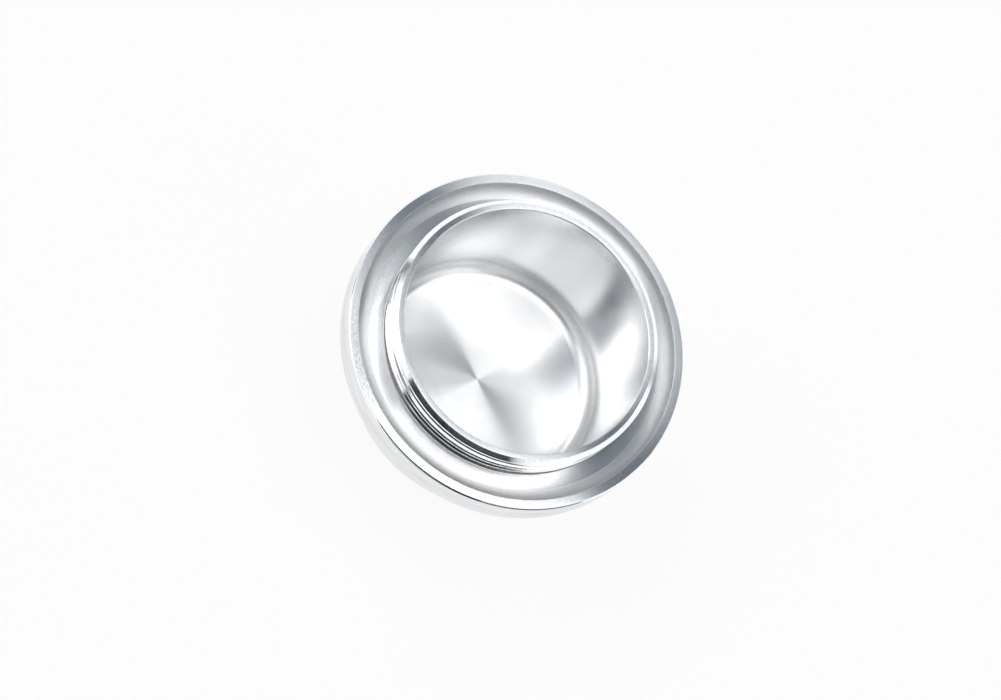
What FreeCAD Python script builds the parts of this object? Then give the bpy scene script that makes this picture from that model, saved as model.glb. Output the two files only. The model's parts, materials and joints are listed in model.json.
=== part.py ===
import FreeCAD, Part
import math
import os

# Oil filter housing cap turned from one bar, in millimetres.
# It stands on its wrench hexagon with the mouth up: Z is the turning axis, Z = 0 the hexagon's end.

# Threaded spigot
thread_diameter = 64.0
thread_pitch = 2.0
spigot_height = 6.4
spigot_wall = 2.5
lead_chamfer = 1.1
lead_chamfer_angle = 30.0
mouth_chamfer = 0.2

# Thread relief at the foot of the spigot
relief_clearance = 0.1
relief_land = 0.4
relief_root_chamfer = 0.9

# Seal recess around the spigot and the rim outside it
recess_width = 6.6
recess_depth = 3.2
recess_wall = 0.2
rim_width = 2.4
rim_chamfer = 0.4

# Flange below the rim
flange_thickness = 8.8
flange_back_chamfer = 1.0
flange_root_chamfer = 1.5

# Cup that takes the end of the filter element
cup_depth = 39.9
cup_wall = 3.0
cup_floor = 4.0
floor_fillet = 3.5
cup_corner_chamfer = 6.8

# Wrench hexagon on the closed end
hex_across_flats = 36.0
hex_height = 12.0
hex_end_inset = 0.6
hex_chamfer_angle = 30.0

# Radii that follow from the sizes above
thread_depth = 0.6134 * thread_pitch
thread_radius = thread_diameter / 2
relief_radius = thread_radius - thread_depth - relief_clearance
bore_radius = thread_radius - spigot_wall
cup_radius = bore_radius + cup_wall
recess_radius = thread_radius + recess_width
flange_radius = recess_radius + rim_width
hex_corner_radius = hex_across_flats / math.sqrt(3)

# Heights that follow, from the hexagon's end up to the mouth
cup_base_z = hex_height
floor_z = cup_base_z + cup_floor
mouth_z = floor_z + cup_depth
rim_z = mouth_z - spigot_height
recess_z = rim_z - recess_depth
flange_base_z = rim_z - flange_thickness
relief_top_z = recess_z + relief_root_chamfer + relief_land
thread_base_z = relief_top_z + thread_radius - relief_radius
lead_chamfer_height = lead_chamfer * math.tan(math.radians(lead_chamfer_angle))


def rounded_outline(corners):
    """Closed outline in the XZ plane through corners (radius, z, rounding)."""
    points = [FreeCAD.Vector(radius, 0, z) for radius, z, rounding in corners]
    starts, ends, arcs = [], [], []
    for index, (radius, z, rounding) in enumerate(corners):
        point = points[index]
        if not rounding:
            starts.append(point)
            ends.append(point)
            arcs.append(None)
            continue
        back = (points[index - 1] - point).normalize()
        ahead = (points[(index + 1) % len(points)] - point).normalize()
        half_angle = back.getAngle(ahead) / 2
        bisector = (back + ahead).normalize()
        start = point + back * (rounding / math.tan(half_angle))
        end = point + ahead * (rounding / math.tan(half_angle))
        middle = point + bisector * (rounding / math.sin(half_angle) - rounding)
        starts.append(start)
        ends.append(end)
        arcs.append(Part.Arc(start, middle, end).toShape())
    edges = []
    for index, arc in enumerate(arcs):
        if arc:
            edges.append(arc)
        edges.append(Part.LineSegment(ends[index], starts[(index + 1) % len(starts)]).toShape())
    return Part.Wire(edges)


def turned(corners):
    """Solid of revolution about the Z axis."""
    section = Part.Face(rounded_outline(corners))
    return section.revolve(FreeCAD.Vector(0, 0, 0), FreeCAD.Vector(0, 0, 1), 360)


def turned_cap():
    """Cup, flange, seal recess and spigot in one section."""
    return turned([
        (0, cup_base_z, 0),
        (cup_radius - cup_corner_chamfer, cup_base_z, 0),
        (cup_radius, cup_base_z + cup_corner_chamfer, 0),
        (cup_radius, flange_base_z - flange_root_chamfer, 0),
        (cup_radius + flange_root_chamfer, flange_base_z, 0),
        (flange_radius - flange_back_chamfer, flange_base_z, 0),
        (flange_radius, flange_base_z + flange_back_chamfer, 0),
        (flange_radius, rim_z - rim_chamfer, 0),
        (flange_radius - rim_chamfer, rim_z, 0),
        (recess_radius, rim_z, 0),
        (recess_radius, recess_z, recess_depth - recess_wall),
        (relief_radius + relief_root_chamfer, recess_z, 0),
        (relief_radius, recess_z + relief_root_chamfer, 0),
        (relief_radius, relief_top_z, 0),
        (thread_radius, thread_base_z, 0),
        (thread_radius, mouth_z - lead_chamfer_height, 0),
        (thread_radius - lead_chamfer, mouth_z, 0),
        (bore_radius + mouth_chamfer, mouth_z, 0),
        (bore_radius, mouth_z - mouth_chamfer, 0),
        (bore_radius, floor_z, floor_fillet),
        (0, floor_z, 0),
    ])


def wrench_hexagon():
    """Hexagon with its end corners turned off, rooted halfway into the cup floor."""
    root_z = cup_base_z + cup_floor / 2
    corners = []
    for index in range(7):
        angle = math.radians(60 * index)
        x = hex_corner_radius * math.cos(angle)
        y = hex_corner_radius * math.sin(angle)
        corners.append(FreeCAD.Vector(x, y, 0))
    prism = Part.Face(Part.makePolygon(corners)).extrude(FreeCAD.Vector(0, 0, root_z))
    end_radius = hex_across_flats / 2 - hex_end_inset
    blank_radius = 2 * hex_corner_radius
    blank_edge_z = (blank_radius - end_radius) * math.tan(math.radians(hex_chamfer_angle))
    blank = turned([
        (0, 0, 0),
        (end_radius, 0, 0),
        (blank_radius, blank_edge_z, 0),
        (blank_radius, blank_edge_z + root_z, 0),
        (0, blank_edge_z + root_z, 0),
    ])
    return prism.common(blank)


os.makedirs("parts", exist_ok=True)
filter_cap = turned_cap().fuse(wrench_hexagon()).removeSplitter().Solids[0]
filter_cap.exportStep("parts/filter_cap.step")
print("filter_cap", filter_cap.isValid(), "volume", round(filter_cap.Volume, 1), "mm3")
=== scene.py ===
import json
import math

import bmesh
import bpy
from mathutils import Matrix, Vector


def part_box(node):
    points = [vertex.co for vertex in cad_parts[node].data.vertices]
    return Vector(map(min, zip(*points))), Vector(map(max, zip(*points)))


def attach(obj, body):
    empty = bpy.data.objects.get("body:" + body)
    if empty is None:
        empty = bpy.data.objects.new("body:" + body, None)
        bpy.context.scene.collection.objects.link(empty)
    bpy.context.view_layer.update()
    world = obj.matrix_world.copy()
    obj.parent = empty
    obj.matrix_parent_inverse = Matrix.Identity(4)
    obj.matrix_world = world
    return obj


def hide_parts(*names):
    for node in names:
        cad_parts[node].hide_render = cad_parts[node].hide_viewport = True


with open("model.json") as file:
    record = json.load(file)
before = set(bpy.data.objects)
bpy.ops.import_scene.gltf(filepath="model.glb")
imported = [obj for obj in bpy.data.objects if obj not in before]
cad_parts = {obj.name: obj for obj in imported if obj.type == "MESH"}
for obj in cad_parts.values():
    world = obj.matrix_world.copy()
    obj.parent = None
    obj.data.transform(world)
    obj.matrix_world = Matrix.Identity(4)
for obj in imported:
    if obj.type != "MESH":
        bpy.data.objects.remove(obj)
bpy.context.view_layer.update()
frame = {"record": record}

mounts = {mount["name"]: mount for mount in frame["record"]["mounts"]}
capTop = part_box("filter_cap")[1]
mm = 0.001
near = 0.01           # tolerance for telling places on the cap apart, in millimetres
hair = 0.001          # keeps the mesh just inside the solid, whose facets are chords
mergeDistance = 1e-7  # metres

scene = bpy.context.scene
scene.view_settings.view_transform = "Standard"


# Node helpers

def addNode(tree, kind, **settings):
    node = tree.nodes.new(kind)
    for name, value in settings.items():
        setattr(node, name, value)
    return node


def plug(tree, target, source):
    # a socket is linked, anything else is set as the socket's value
    if isinstance(source, bpy.types.NodeSocket):
        tree.links.new(source, target)
    else:
        target.default_value = source


def mathNode(tree, operation, first, second=None, clamp=False):
    node = addNode(tree, "ShaderNodeMath", operation=operation, use_clamp=clamp)
    plug(tree, node.inputs[0], first)
    if second is not None:
        plug(tree, node.inputs[1], second)
    return node.outputs[0]


def vectorNode(tree, operation, first, second):
    node = addNode(tree, "ShaderNodeVectorMath", operation=operation)
    plug(tree, node.inputs[0], first)
    plug(tree, node.inputs[1], second)
    return node.outputs["Value" if operation == "DOT_PRODUCT" else "Vector"]


def combineXyz(tree, x, y, z):
    node = addNode(tree, "ShaderNodeCombineXYZ")
    for socket, source in zip(node.inputs, (x, y, z)):
        plug(tree, socket, source)
    return node.outputs[0]


def ramp(tree, source, low, high, outLow=0.0, outHigh=1.0, smooth=True):
    node = addNode(tree, "ShaderNodeMapRange")
    node.interpolation_type = "SMOOTHSTEP" if smooth else "LINEAR"
    for name, value in (("Value", source), ("From Min", low), ("From Max", high),
                        ("To Min", outLow), ("To Max", outHigh)):
        plug(tree, node.inputs[name], value)
    return node.outputs[0]


def mixColor(tree, factor, first, second):
    node = addNode(tree, "ShaderNodeMix", data_type="RGBA")
    plug(tree, node.inputs[0], factor)
    plug(tree, node.inputs[6], first)
    plug(tree, node.inputs[7], second)
    return node.outputs[2]


def newGroup(name, inputs, outputs):
    group = bpy.data.node_groups.new(name, "ShaderNodeTree")
    for socketName, kind in inputs:
        group.interface.new_socket(socketName, in_out="INPUT", socket_type=kind)
    for socketName, kind in outputs:
        group.interface.new_socket(socketName, in_out="OUTPUT", socket_type=kind)
    return group, addNode(group, "NodeGroupInput"), addNode(group, "NodeGroupOutput")


def useGroup(tree, group, **values):
    node = addNode(tree, "ShaderNodeGroup", node_tree=group)
    for name, value in values.items():
        plug(tree, node.inputs[name], value)
    return node


# Shared finish: marks that a turning tool leaves, the same all the way round the axis

markDetail = {"Height": 2.0, "Tone": 3.0}


def buildTurningMarks():
    group, given, result = newGroup(
        "turningMarks",
        [("Feed", "NodeSocketFloat"), ("Band", "NodeSocketFloat")],
        [("Height", "NodeSocketFloat"), ("Tone", "NodeSocketFloat")])
    place = addNode(group, "ShaderNodeTexCoord").outputs["Object"]
    split = addNode(group, "ShaderNodeSeparateXYZ")
    plug(group, split.inputs[0], place)
    radius = mathNode(group, "SQRT", mathNode(
        group, "ADD",
        mathNode(group, "MULTIPLY", split.outputs[0], split.outputs[0]),
        mathNode(group, "MULTIPLY", split.outputs[1], split.outputs[1])))
    for socket, size in (("Height", "Feed"), ("Tone", "Band")):
        across = combineXyz(group, mathNode(group, "DIVIDE", radius, given.outputs[size]),
                            0.0, mathNode(group, "DIVIDE", split.outputs[2], given.outputs[size]))
        noise = addNode(group, "ShaderNodeTexNoise")
        plug(group, noise.inputs["Vector"], across)
        noise.inputs["Scale"].default_value = 1.0
        noise.inputs["Detail"].default_value = markDetail[socket]
        plug(group, result.inputs[socket], noise.outputs["Fac"])
    return group


# Shared finish: short bright and dull flecks drawn out along the cut

fleck = {"detail": 4.0, "roughness": 0.65, "dullBelow": 0.35, "brightAbove": 0.68}


def buildCutFlecks():
    group, given, result = newGroup(
        "cutFlecks",
        [("Grain", "NodeSocketFloat"), ("Runs", "NodeSocketFloat")],
        [("Mask", "NodeSocketFloat")])
    place = addNode(group, "ShaderNodeTexCoord").outputs["Object"]
    split = addNode(group, "ShaderNodeSeparateXYZ")
    plug(group, split.inputs[0], place)
    flat = combineXyz(group, split.outputs[0], split.outputs[1], 0.0)
    length = addNode(group, "ShaderNodeVectorMath", operation="LENGTH")
    plug(group, length.inputs[0], flat)
    heading = addNode(group, "ShaderNodeVectorMath", operation="NORMALIZE")
    plug(group, heading.inputs[0], flat)
    around = addNode(group, "ShaderNodeSeparateXYZ")
    plug(group, around.inputs[0], heading.outputs["Vector"])
    across = mathNode(group, "DIVIDE", mathNode(
        group, "ADD", length.outputs["Value"], split.outputs[2]), given.outputs["Grain"])
    noise = addNode(group, "ShaderNodeTexNoise")
    plug(group, noise.inputs["Vector"], combineXyz(
        group,
        mathNode(group, "MULTIPLY", around.outputs[0], given.outputs["Runs"]),
        mathNode(group, "MULTIPLY", around.outputs[1], given.outputs["Runs"]),
        across))
    noise.inputs["Scale"].default_value = 1.0
    noise.inputs["Detail"].default_value = fleck["detail"]
    noise.inputs["Roughness"].default_value = fleck["roughness"]
    plug(group, result.inputs["Mask"], ramp(
        group, noise.outputs["Fac"], fleck["dullBelow"], fleck["brightAbove"]))
    return group


turningMarks = buildTurningMarks()
cutFlecks = buildCutFlecks()


# Turned aluminium, one material for each kind of cut on the cap; the relief's is darkened with painted
# shade
# Sizes in millimetres: feed and depth of the tool marks, band of the tone, grain across the cut.
# runs is the count of flecks along one radian of the cut.

finishes = {
    "facedFloor": {"bright": (0.95, 0.955, 0.96, 1), "dull": (0.90, 0.91, 0.925, 1),
                   "roughness": 0.25, "spread": 0.05, "anisotropic": 1.0,
                   "feed": 0.45, "band": 2.6, "depth": 0.02, "grain": 0.35, "runs": 26.0},
    "boredWall": {"bright": (0.94, 0.945, 0.95, 1), "dull": (0.88, 0.895, 0.91, 1),
                  "roughness": 0.17, "spread": 0.06, "anisotropic": 0.8,
                  "feed": 0.6, "band": 4.0, "depth": 0.03, "grain": 0.5, "runs": 30.0},
    "floorCurve": {"bright": (0.95, 0.955, 0.96, 1), "dull": (0.89, 0.905, 0.92, 1),
                   "roughness": 0.34, "spread": 0.05, "anisotropic": 0.6,
                   "feed": 0.6, "band": 3.0, "depth": 0.02, "grain": 0.5, "runs": 30.0},
    "facedLand": {"bright": (0.93, 0.945, 0.96, 1), "dull": (0.70, 0.75, 0.80, 1),
                  "roughness": 0.25, "spread": 0.10, "anisotropic": 1.0,
                  "feed": 0.3, "band": 0.8, "depth": 0.05, "grain": 0.22, "runs": 60.0},
    "recessCut": {"bright": (0.95, 0.955, 0.96, 1), "dull": (0.86, 0.88, 0.90, 1),
                  "roughness": 0.20, "spread": 0.07, "anisotropic": 0.9,
                  "feed": 0.4, "band": 1.1, "depth": 0.05, "grain": 0.3, "runs": 40.0},
    "recessWall": {"bright": (0.95, 0.955, 0.96, 1), "dull": (0.86, 0.88, 0.90, 1),
                   "roughness": 0.38, "spread": 0.07, "anisotropic": 0.95,
                   "feed": 0.4, "band": 1.1, "depth": 0.05, "grain": 0.3, "runs": 40.0},
    # painted shade: the relief under the thread gets a dark brownish colour for the shade in the occluded
    # cavity at the spigot's foot
    "reliefPaintedShade": {"bright": (0.30, 0.28, 0.25, 1), "dull": (0.18, 0.165, 0.15, 1),
                  "roughness": 0.30, "spread": 0.10, "anisotropic": 0.5,
                  "feed": 0.3, "band": 0.7, "depth": 0.05, "grain": 0.25, "runs": 60.0},
    "fineCut": {"bright": (0.95, 0.955, 0.96, 1), "dull": (0.82, 0.85, 0.89, 1),
                "roughness": 0.12, "spread": 0.06, "anisotropic": 0.9,
                "feed": 0.3, "band": 0.9, "depth": 0.03, "grain": 0.25, "runs": 70.0},
    "turnedOutside": {"bright": (0.86, 0.87, 0.88, 1), "dull": (0.70, 0.72, 0.74, 1),
                      "roughness": 0.22, "spread": 0.06, "anisotropic": 0.85,
                      "feed": 0.35, "band": 3.0, "depth": 0.05, "grain": 0.25, "runs": 4.0},
    "milledFlat": {"bright": (0.78, 0.79, 0.80, 1), "dull": (0.64, 0.655, 0.67, 1),
                   "roughness": 0.26, "spread": 0.08, "anisotropic": 0.5,
                   "feed": 0.5, "band": 2.0, "depth": 0.05, "grain": 0.3, "runs": 3.0},
}

metal = {
    "gleamTurn": 0.25,       # quarter turn: the gleam lies across the cut
    "dullFrom": 0.1,
    "dullTo": 0.6,
    "roughTo": 0.7,
    "bumpShare": 0.1,        # how much of a mark's depth the shading shows
}


def buildTurnedMetal(name, finish):
    material = bpy.data.materials.new(name)
    material.use_nodes = True
    tree = material.node_tree
    shader = tree.nodes["Principled BSDF"]
    shader.inputs["Metallic"].default_value = 1.0
    shader.inputs["Anisotropic"].default_value = finish["anisotropic"]
    shader.inputs["Anisotropic Rotation"].default_value = metal["gleamTurn"]

    marks = useGroup(tree, turningMarks, Feed=finish["feed"] * mm, Band=finish["band"] * mm)
    flecks = useGroup(tree, cutFlecks, Grain=finish["grain"] * mm, Runs=finish["runs"])
    wear = mathNode(tree, "MULTIPLY", marks.outputs["Tone"], flecks.outputs["Mask"], clamp=True)
    plug(tree, shader.inputs["Base Color"], mixColor(
        tree, ramp(tree, wear, metal["dullFrom"], metal["dullTo"]), finish["bright"], finish["dull"]))
    plug(tree, shader.inputs["Roughness"], ramp(
        tree, wear, 0.0, metal["roughTo"], finish["roughness"] - finish["spread"] / 2,
        finish["roughness"] + finish["spread"] / 2, smooth=False))

    bump = addNode(tree, "ShaderNodeBump")
    bump.inputs["Strength"].default_value = 1.0
    bump.inputs["Distance"].default_value = finish["depth"] * mm * metal["bumpShare"]
    plug(tree, bump.inputs["Height"], marks.outputs["Height"])
    plug(tree, shader.inputs["Normal"], bump.outputs["Normal"])

    # the tool runs round the Z axis
    split = addNode(tree, "ShaderNodeSeparateXYZ")
    plug(tree, split.inputs[0], addNode(tree, "ShaderNodeTexCoord").outputs["Object"])
    plug(tree, shader.inputs["Tangent"], combineXyz(
        tree, mathNode(tree, "MULTIPLY", split.outputs[1], -1.0), split.outputs[0], 0.0))
    return material


materials = {name: buildTurnedMetal(name, finish) for name, finish in finishes.items()}
finishNames = list(finishes)
print("finishes:", ", ".join(finishNames))


# The cap: one section spun round the axis, the thread cut into it, the hexagon bridged to its foot

cap = {
    "steps": 264,            # facets round the axis, a multiple of the hexagon's six sides
    "leadChamfer": 1.1,
    "leadAngle": 30.0,
    "mouthChamfer": 0.2,
    "reliefDepth": 1.05,
    "reliefLand": 0.4,
    "reliefRise": 0.6,       # height of the slope from the relief out to the thread
    "reliefRoot": 0.9,
    "recessDepth": 3.2,
    "recessCurve": 3.0,
    "rimWidth": 2.4,
    "rimChamfer": 0.4,
    "flangeThickness": 8.8,
    "flangeBackChamfer": 1.0,
    "flangeRoot": 1.5,
    "cupDepth": 39.9,
    "cupWall": 3.0,
    "cupFloor": 4.0,
    "floorCurve": 3.5,
    "cupCorner": 6.8,
    "edge": 0.1,             # every edge is broken by this much
    "edgeSteps": 4,
    "curveSteps": 18,
    "hold": 0.4,             # a ring this far from each curve keeps the flat beside it flat
    "sharpAngle": 9.0,       # edges steeper than this stay crisp
}

thread = {
    "pitch": 2.0,
    "depth": 1.05,
    "flank": 0.65,           # height of each sloping side
    "crest": 0.4,            # flat left on top of a turn
    "wideCrest": 1.55,       # the turn below the mouth is left wider on the near side
    "wideMiddle": 1.75,      # where that is along the helix, in turns from the rim's plane
    "wideReach": 0.45,       # how many turns it reaches either way
    "wideRise": 3.0,         # it fades out over the last third of that reach
    "phase": -0.12,          # height of a crest's middle over the rim, at the +X side
    "runOut": 0.35,          # the groove fades out over this height below the lead chamfer
    "row": 0.05,             # spacing of the mesh rows that carry the thread
}

hexagon = {
    "sides": 6,
    "turn": 30.0,            # puts a corner on +X
    "acrossFlats": 36.0,
    "endInset": 0.6,
    "endAngle": 30.0,
}

flangeR = capTop.y / mm - hair
mouthZ = capTop.z / mm
threadR = mounts["thread_spigot"]["dims"]["r_mm"]
boreR = mounts["element_bore"]["dims"]["r_mm"]
rimZ = mounts["rim_face"]["pos_m"][2] / mm
floorZ = mouthZ - cap["cupDepth"]
baseZ = floorZ - cap["cupFloor"]
recessZ = rimZ - cap["recessDepth"]
recessR = flangeR - cap["rimWidth"]
reliefR = threadR - cap["reliefDepth"]
reliefTopZ = recessZ + cap["reliefRoot"] + cap["reliefLand"]
flangeBaseZ = rimZ - cap["flangeThickness"]
cupR = boreR + cap["cupWall"]
leadZ = mouthZ - cap["leadChamfer"] * math.tan(math.radians(cap["leadAngle"]))
hexCornerR = hexagon["acrossFlats"] / math.sqrt(3)
# ring on the cup's underside that the hexagon joins
footR = (hexCornerR + cupR - cap["cupCorner"]) / 2


def sectionCorners():
    edge = (cap["edge"], cap["edgeSteps"])
    sharp = (0.0, 0)
    return [
        (footR, baseZ, sharp),
        (cupR - cap["cupCorner"], baseZ, edge),
        (cupR, baseZ + cap["cupCorner"], edge),
        (cupR, flangeBaseZ - cap["flangeRoot"], edge),
        (cupR + cap["flangeRoot"], flangeBaseZ, edge),
        (flangeR - cap["flangeBackChamfer"], flangeBaseZ, edge),
        (flangeR, flangeBaseZ + cap["flangeBackChamfer"], edge),
        (flangeR, rimZ - cap["rimChamfer"], edge),
        (flangeR - cap["rimChamfer"], rimZ, edge),
        (recessR, rimZ, edge),
        (recessR, recessZ, (cap["recessCurve"], cap["curveSteps"])),
        (recessR - cap["recessCurve"] - cap["hold"], recessZ, sharp),
        (reliefR + cap["reliefRoot"], recessZ, edge),
        (reliefR, recessZ + cap["reliefRoot"], edge),
        (reliefR, reliefTopZ, sharp),
        (threadR, reliefTopZ + cap["reliefRise"], sharp),
        (threadR, leadZ, sharp),
        (threadR - cap["leadChamfer"], mouthZ, sharp),
        (boreR + cap["mouthChamfer"], mouthZ, edge),
        (boreR, mouthZ - cap["mouthChamfer"], edge),
        (boreR, floorZ + cap["floorCurve"] + cap["hold"], sharp),
        (boreR, floorZ, (cap["floorCurve"], cap["curveSteps"])),
        (boreR - cap["floorCurve"] - cap["hold"], floorZ, sharp),
        (0.0, floorZ, sharp),
    ]


def spinSection(bm):
    corners = sectionCorners()
    verts = [bm.verts.new((radius * mm, 0, height * mm)) for radius, height, rounding in corners]
    for first, second in zip(verts, verts[1:]):
        bm.edges.new((first, second))
    roundings = {}
    for vert, (radius, height, rounding) in zip(verts, corners):
        if rounding[1]:
            roundings.setdefault(rounding, []).append(vert)
    for (offset, steps), group in roundings.items():
        bmesh.ops.bevel(bm, geom=group, offset=offset * mm, offset_type="OFFSET", segments=steps,
                        profile=0.5, affect="VERTICES", material=-1)

    # fine rows where the thread is cut: from the relief up over the lead chamfer
    for edge in bm.edges[:]:
        middle = (edge.verts[0].co + edge.verts[1].co) / (2 * mm)
        onSpigot = reliefR + near < middle.x < threadR + near
        if onSpigot and reliefTopZ < middle.z < mouthZ - near:
            length = edge.calc_length() / mm
            cuts = round(length / thread["row"]) - 1
            bmesh.ops.subdivide_edges(bm, edges=[edge], cuts=cuts)
    bmesh.ops.spin(bm, geom=bm.verts[:] + bm.edges[:], cent=(0, 0, 0), axis=(0, 0, 1), dvec=(0, 0, 0),
                   angle=math.tau, steps=cap["steps"], use_merge=True)
    bmesh.ops.remove_doubles(bm, verts=bm.verts[:], dist=mergeDistance)


def crestWidth(along):
    fade = 1 - min(abs(along - thread["wideMiddle"]) / thread["wideReach"], 1.0)
    return thread["crest"] + (thread["wideCrest"] - thread["crest"]) * min(thread["wideRise"] * fade, 1.0)


def grooveRadius(height, turn):
    # radius of the thread's own profile at this height, turn being the share of a full turn from +X
    lead = (height - rimZ - thread["phase"]) / thread["pitch"] - turn
    radius = 0.0
    for crest in (math.floor(lead), math.floor(lead) + 1):
        away = abs(lead - crest) * thread["pitch"] - crestWidth(crest + turn) / 2
        down = min(max(away / thread["flank"], 0.0), 1.0)
        radius = max(radius, threadR - thread["depth"] * down)
    fade = min(max((leadZ - height) / thread["runOut"], 0.0), 1.0)
    return threadR - (threadR - radius) * fade


def cutThread(bm):
    for vert in bm.verts:
        radius = math.hypot(vert.co.x, vert.co.y) / mm
        height = vert.co.z / mm
        if reliefTopZ < height < mouthZ - hair and reliefR < radius < threadR + near:
            turn = math.atan2(vert.co.y, vert.co.x) / math.tau
            scale = min(1.0, grooveRadius(height, turn) / radius)
            vert.co.x *= scale
            vert.co.y *= scale


def addHexagon(bm):
    footRing = [edge for edge in bm.edges if edge.is_boundary]
    turn = Matrix.Rotation(math.radians(hexagon["turn"]), 4, "Z")
    place = Matrix.Translation((0, 0, baseZ * mm)) @ turn
    top = bmesh.ops.create_circle(bm, segments=hexagon["sides"], radius=hexCornerR * mm, matrix=place)
    sides = list({edge for vert in top["verts"] for edge in vert.link_edges})
    bmesh.ops.subdivide_edges(bm, edges=sides, cuts=cap["steps"] // hexagon["sides"] - 1)
    known = set(footRing)
    topRing = [edge for edge in bm.edges if edge.is_wire and edge not in known]

    slope = math.tan(math.radians(hexagon["endAngle"]))
    endR = hexagon["acrossFlats"] / 2 - hexagon["endInset"]
    made = bmesh.ops.extrude_edge_only(bm, edges=topRing)["geom"]
    for vert in (item for item in made if isinstance(item, bmesh.types.BMVert)):
        vert.co.z = (math.hypot(vert.co.x, vert.co.y) - endR * mm) * slope
    cornerRing = [item for item in made if isinstance(item, bmesh.types.BMEdge)]
    made = bmesh.ops.extrude_edge_only(bm, edges=cornerRing)["geom"]
    for vert in (item for item in made if isinstance(item, bmesh.types.BMVert)):
        scale = endR * mm / math.hypot(vert.co.x, vert.co.y)
        vert.co = (vert.co.x * scale, vert.co.y * scale, 0)
    endRing = [item for item in made if isinstance(item, bmesh.types.BMEdge)]
    bmesh.ops.edgeloop_fill(bm, edges=endRing)
    bmesh.ops.bridge_loops(bm, edges=footRing + topRing)


def finishOf(face):
    # each kind of cut is told by where it lies on the section
    centre = face.calc_center_median() / mm
    radius = math.hypot(centre.x, centre.y)
    if centre.z < baseZ - near:
        return "milledFlat"
    if radius < boreR + near and centre.z > floorZ - near:
        if centre.z > floorZ + cap["floorCurve"]:
            return "boredWall"
        return "facedFloor" if radius < boreR - cap["floorCurve"] else "floorCurve"
    if centre.z > mouthZ - 2 * near or (centre.z > rimZ - 2 * near and radius > recessR):
        return "facedLand"
    # the relief's faces take the dark painted shade
    if recessZ + cap["reliefRoot"] < centre.z < reliefTopZ and radius < threadR:
        return "reliefPaintedShade"
    if centre.z > rimZ - cap["rimChamfer"] and radius > flangeR - cap["rimChamfer"]:
        return "fineCut"
    if reliefTopZ < centre.z and radius < threadR + near:
        return "reliefPaintedShade" if centre.z < reliefTopZ + cap["reliefRise"] else "fineCut"
    if recessZ - near < centre.z < rimZ and reliefR - near < radius < recessR + near:
        if radius < reliefR + cap["reliefRoot"]:
            return "reliefPaintedShade"
        return "recessCut" if radius < recessR - cap["recessCurve"] else "recessWall"
    return "turnedOutside"


def buildCap():
    bm = bmesh.new()
    spinSection(bm)
    cutThread(bm)
    addHexagon(bm)
    bmesh.ops.remove_doubles(bm, verts=bm.verts[:], dist=mergeDistance)
    bmesh.ops.recalc_face_normals(bm, faces=bm.faces[:])
    for face in bm.faces:
        face.smooth = True
        face.material_index = finishNames.index(finishOf(face))
    mesh = bpy.data.meshes.new("turnedCap")
    bm.to_mesh(mesh)
    bm.free()
    for name in finishNames:
        mesh.materials.append(materials[name])
    mesh.set_sharp_from_angle(angle=math.radians(cap["sharpAngle"]))
    piece = bpy.data.objects.new("turnedCap", mesh)
    scene.collection.objects.link(piece)
    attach(piece, "root")
    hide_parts("filter_cap")
    mesh.calc_loop_triangles()
    print("cap:", len(mesh.loop_triangles), "triangles")
    return piece


buildCap()


# Floor and studio

floor = {
    "radius": 3.0,           # metres
    "segments": 64,
    "color": (0.9, 0.9, 0.9, 1),
    "lift": 0.9,             # share of plain white; the rest takes the cap's shadow
}


def buildFloor():
    bm = bmesh.new()
    bmesh.ops.create_circle(bm, cap_ends=True, segments=floor["segments"], radius=floor["radius"])
    mesh = bpy.data.meshes.new("studioFloor")
    bm.to_mesh(mesh)
    bm.free()
    material = bpy.data.materials.new("paleFloor")
    material.use_nodes = True
    tree = material.node_tree
    tree.nodes.clear()
    diffuse = addNode(tree, "ShaderNodeBsdfDiffuse")
    diffuse.inputs["Color"].default_value = floor["color"]
    white = addNode(tree, "ShaderNodeEmission")
    path = addNode(tree, "ShaderNodeLightPath")
    seen = mathNode(tree, "MAXIMUM", path.outputs["Is Camera Ray"], mathNode(
        tree, "MAXIMUM", path.outputs["Is Glossy Ray"], path.outputs["Is Transmission Ray"]))
    mix = addNode(tree, "ShaderNodeMixShader")
    plug(tree, mix.inputs[0], mathNode(tree, "MULTIPLY", seen, floor["lift"]))
    plug(tree, mix.inputs[1], diffuse.outputs[0])
    plug(tree, mix.inputs[2], white.outputs[0])
    out = addNode(tree, "ShaderNodeOutputMaterial")
    plug(tree, out.inputs["Surface"], mix.outputs[0])
    mesh.materials.append(material)
    piece = bpy.data.objects.new("studioFloor", mesh)
    scene.collection.objects.link(piece)


# The studio is a white surround with soft panels, later ones in front of earlier ones.
# Each stands in a direction: azimuth from +X, elevation, half sizes and roll in degrees.

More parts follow.
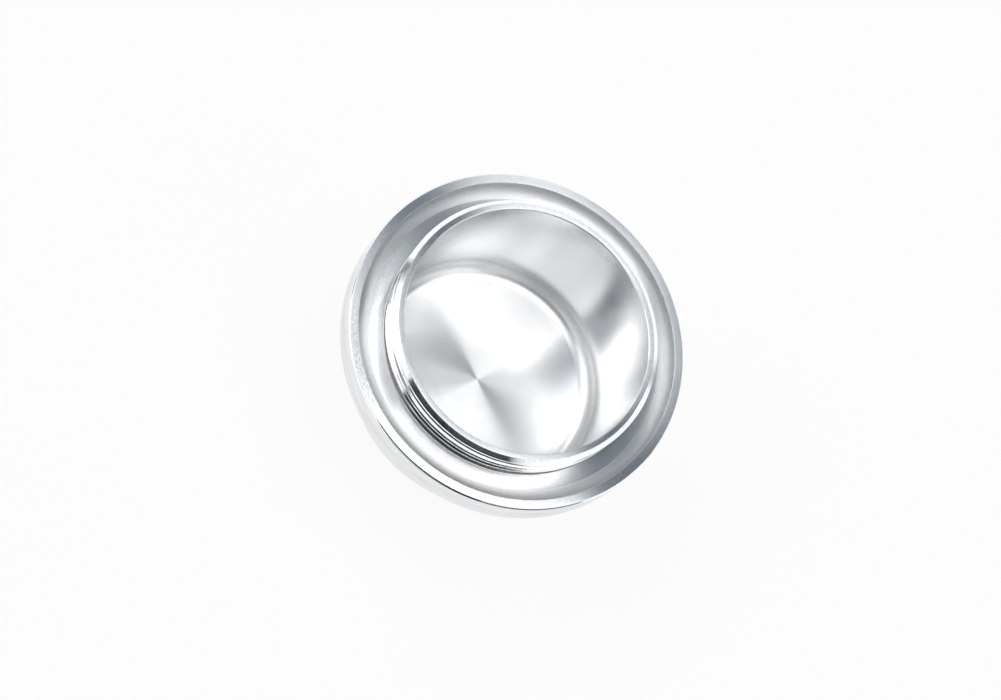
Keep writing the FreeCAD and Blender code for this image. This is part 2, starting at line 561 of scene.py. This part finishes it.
studio = {
    "level": (1.05, 1.05, 1.05, 1),
    "leastAhead": 0.001,     # nothing behind a panel's back counts
    "panels": [
        {"name": "ceiling", "azimuth": 100, "elevation": 67, "wide": 35, "tall": 46, "roll": 2,
         "soft": 7, "color": (0.05, 0.08, 0.11, 1)},
        {"name": "keyBox", "azimuth": 56, "elevation": 70, "wide": 19, "tall": 50, "roll": 25,
         "soft": 1.5, "color": (2.0, 2.0, 2.0, 1)},
        {"name": "lowDark", "azimuth": -50, "elevation": 14, "wide": 48, "tall": 8, "roll": 0,
         "soft": 3, "color": (0.04, 0.045, 0.05, 1)},
        {"name": "frontDark", "azimuth": -76.4, "elevation": 43, "wide": 28.6, "tall": 22, "roll": 0,
         "soft": 1.2, "color": (0.012, 0.02, 0.029, 1)},
        {"name": "frontRight", "azimuth": -45, "elevation": 47, "wide": 21, "tall": 7, "roll": -43,
         "soft": 2.5, "color": (0.04, 0.05, 0.06, 1)},
        {"name": "leftBox", "azimuth": -173, "elevation": 49, "wide": 26, "tall": 17, "roll": -28,
         "soft": 1.5, "color": (2.0, 2.0, 2.0, 1)},
        {"name": "leftFlag", "azimuth": -179, "elevation": 23, "wide": 11, "tall": 13, "roll": 0,
         "soft": 2.5, "color": (0.03, 0.036, 0.042, 1)},
        {"name": "rearDark", "azimuth": 66, "elevation": 48, "wide": 31, "tall": 19, "roll": 7,
         "soft": 1.3, "color": (0.045, 0.07, 0.095, 1)},
        {"name": "rightFlag", "azimuth": 41, "elevation": 3, "wide": 13, "tall": 12, "roll": 0,
         "soft": 5, "color": (0.08, 0.085, 0.09, 1)},
        {"name": "rearBox", "azimuth": 111, "elevation": 41, "wide": 9.5, "tall": 12.5, "roll": -6,
         "soft": 4, "color": (1.25, 1.25, 1.25, 1)},
        {"name": "rightBox", "azimuth": 54, "elevation": 23, "wide": 17, "tall": 7, "roll": 0,
         "soft": 3.3, "color": (1.9, 1.9, 1.9, 1)},
    ],
}


def buildPanelGroup():
    group, given, result = newGroup(
        "lightPanel",
        [("Direction", "NodeSocketVector"), ("Right", "NodeSocketVector"), ("Up", "NodeSocketVector"),
         ("Ahead", "NodeSocketVector"), ("Wide", "NodeSocketFloat"), ("Tall", "NodeSocketFloat"),
         ("Soft", "NodeSocketFloat")],
        [("Mask", "NodeSocketFloat")])
    heading = given.outputs["Direction"]
    toward = vectorNode(group, "DOT_PRODUCT", heading, given.outputs["Ahead"])
    ahead = mathNode(group, "MAXIMUM", toward, studio["leastAhead"])
    masks = []
    for axis, size in (("Right", "Wide"), ("Up", "Tall")):
        side = mathNode(group, "ABSOLUTE", mathNode(
            group, "DIVIDE", vectorNode(group, "DOT_PRODUCT", heading, given.outputs[axis]), ahead))
        masks.append(ramp(
            group, side,
            mathNode(group, "ADD", given.outputs[size], given.outputs["Soft"]),
            mathNode(group, "SUBTRACT", given.outputs[size], given.outputs["Soft"])))
    plug(group, result.inputs["Mask"], mathNode(group, "MULTIPLY", masks[0], masks[1]))
    return group


def buildStudio():
    world = bpy.data.worlds.new("studio")
    world.use_nodes = True
    scene.world = world
    tree = world.node_tree
    tree.nodes.clear()
    heading = addNode(tree, "ShaderNodeTexCoord").outputs["Generated"]
    panelGroup = buildPanelGroup()
    color = studio["level"]
    for panel in studio["panels"]:
        turn = Matrix.Rotation(math.radians(panel["azimuth"]), 3, "Z") @ \
            Matrix.Rotation(-math.radians(panel["elevation"]), 3, "Y") @ \
            Matrix.Rotation(math.radians(panel["roll"]), 3, "X")
        mask = useGroup(
            tree, panelGroup, Direction=heading, Ahead=turn @ Vector((1, 0, 0)),
            Right=turn @ Vector((0, 1, 0)), Up=turn @ Vector((0, 0, 1)),
            Wide=math.tan(math.radians(panel["wide"])), Tall=math.tan(math.radians(panel["tall"])),
            Soft=math.tan(math.radians(panel["soft"])))
        color = mixColor(tree, mask.outputs["Mask"], color, panel["color"])
    path = addNode(tree, "ShaderNodeLightPath")
    color = mixColor(tree, path.outputs["Is Camera Ray"], color, (1, 1, 1, 1))
    background = addNode(tree, "ShaderNodeBackground")
    plug(tree, background.inputs["Color"], color)
    out = addNode(tree, "ShaderNodeOutputWorld")
    plug(tree, out.inputs["Surface"], background.outputs[0])
    print("studio:", ", ".join(panel["name"] for panel in studio["panels"]))


# Camera at the photograph's angle: it looks down on the mouth, and the axis leans to the upper right

camera = {
    "distance": 0.574,       # from the middle of the rim's plane, in metres
    "tilt": 25.59,           # between the cap's axis and the line of sight
    "roll": 46.18,
    "lens": 88.98,
    "sensor": 36.0,
    "aside": 4.48,           # millimetres that the rim's middle lies right of the image's middle
    "above": 2.72,           # and above it
    "clipStart": 0.01,
}


def buildCamera():
    data = bpy.data.cameras.new("photoCamera")
    data.lens = camera["lens"]
    data.sensor_width = camera["sensor"]
    data.sensor_fit = "HORIZONTAL"
    data.clip_start = camera["clipStart"]
    tilt = math.radians(camera["tilt"])
    rim = Vector((0, 0, rimZ * mm))
    back = Vector((0, -math.sin(tilt), math.cos(tilt)))
    level = Matrix((Vector((1, 0, 0)), Vector((0, math.cos(tilt), math.sin(tilt))), back)).transposed()
    rolled = level @ Matrix.Rotation(math.radians(camera["roll"]), 3, "Z")
    place = rim + back * camera["distance"]
    target = rim - (rolled.col[0] * camera["aside"] + rolled.col[1] * camera["above"]) * mm
    sight = (place - target).normalized()
    right = (rolled.col[0] - sight * rolled.col[0].dot(sight)).normalized()
    turn = Matrix((right, sight.cross(right), sight)).transposed()
    piece = bpy.data.objects.new("photoCamera", data)
    piece.matrix_world = Matrix.Translation(place) @ turn.to_4x4()
    scene.collection.objects.link(piece)
    scene.camera = piece


buildFloor()
buildStudio()
buildCamera()
